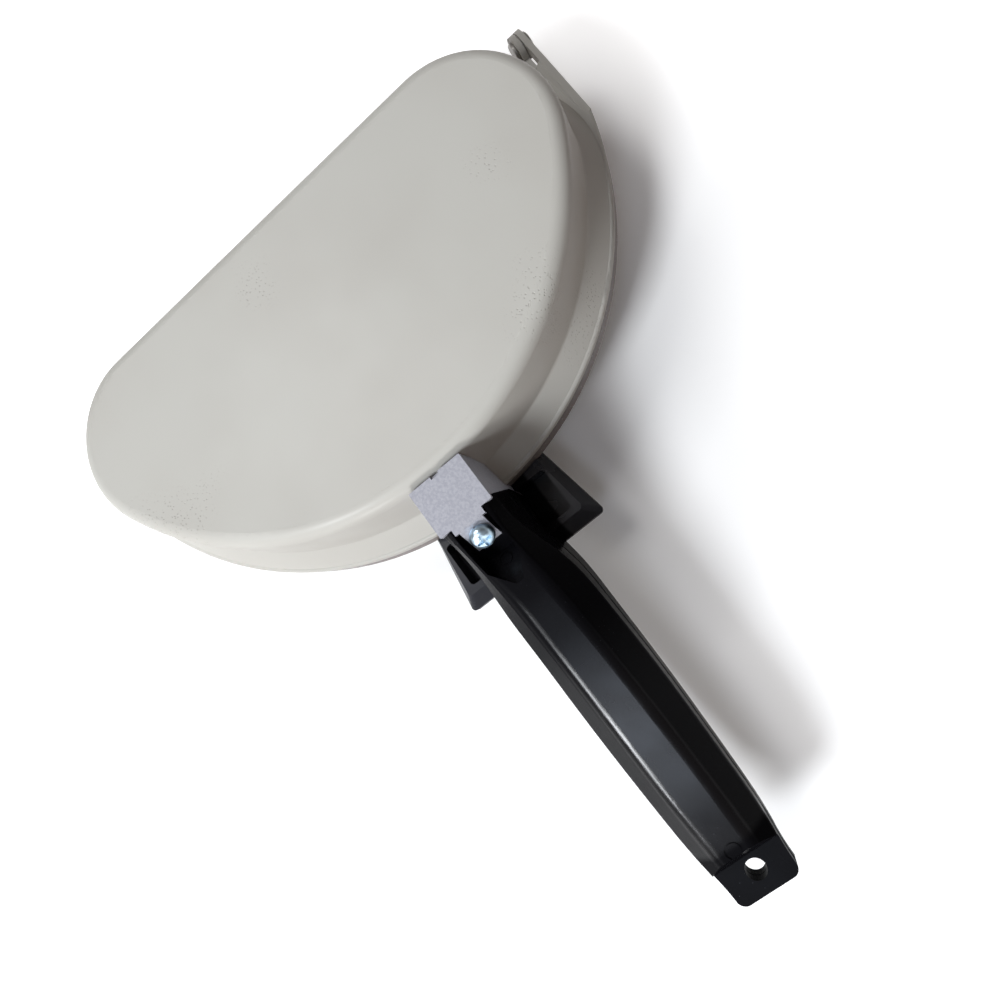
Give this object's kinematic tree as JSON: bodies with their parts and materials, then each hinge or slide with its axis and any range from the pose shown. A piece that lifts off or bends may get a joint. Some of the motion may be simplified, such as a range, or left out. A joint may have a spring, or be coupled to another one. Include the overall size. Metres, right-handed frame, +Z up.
{
  "type": "double sided flip pan",
  "caption": "Flip pan of two hinged D-shaped shells, each with a metal bracket and a black moulded handle; it opens flat.",
  "frame": {"origin": "middle of the lower shell's flat base, on the surface it stands on", "axes": "+X along the handles, +Y along the hinge, +Z up through the closed pan"},
  "size_m": [0.2685, 0.2222, 0.073],
  "materials": {
    "shell_enamel": "light warm grey baked enamel, glossy, with small scratches",
    "bracket_metal": "satin pressed sheet",
    "rivet_metal": "satin",
    "handle_plastic": "black, polished, moulded",
    "screw_steel": "bright zinc plated",
    "insert_brass": "turned",
    "hinge_steel": "dull"
  },
  "bodies": {
    "lower_half": {"lower_shell": "shell_enamel", "lower_bracket": "bracket_metal", "lower_bracket_rivets": "rivet_metal", "lower_handle": "handle_plastic", "lower_handle_screw": "screw_steel", "lower_spring_washer": "screw_steel", "lower_threaded_insert": "insert_brass", "left_hinge_pin": "hinge_steel", "left_hinge_washer": "hinge_steel", "right_hinge_pin": "hinge_steel", "right_hinge_washer": "hinge_steel"},
    "upper_half": {"upper_shell": "shell_enamel", "upper_bracket": "bracket_metal", "upper_bracket_rivets": "rivet_metal", "upper_handle": "handle_plastic", "upper_handle_screw": "screw_steel", "upper_spring_washer": "screw_steel", "upper_threaded_insert": "insert_brass"}
  },
  "joints": [
    {"name": "pan_hinge", "type": "hinge", "parent": "lower_half", "child": "upper_half", "pos_m": [-0.05675, 0, 0.0365], "axis": [0, -1, 0], "range_deg": [0, 180]}
  ]
}
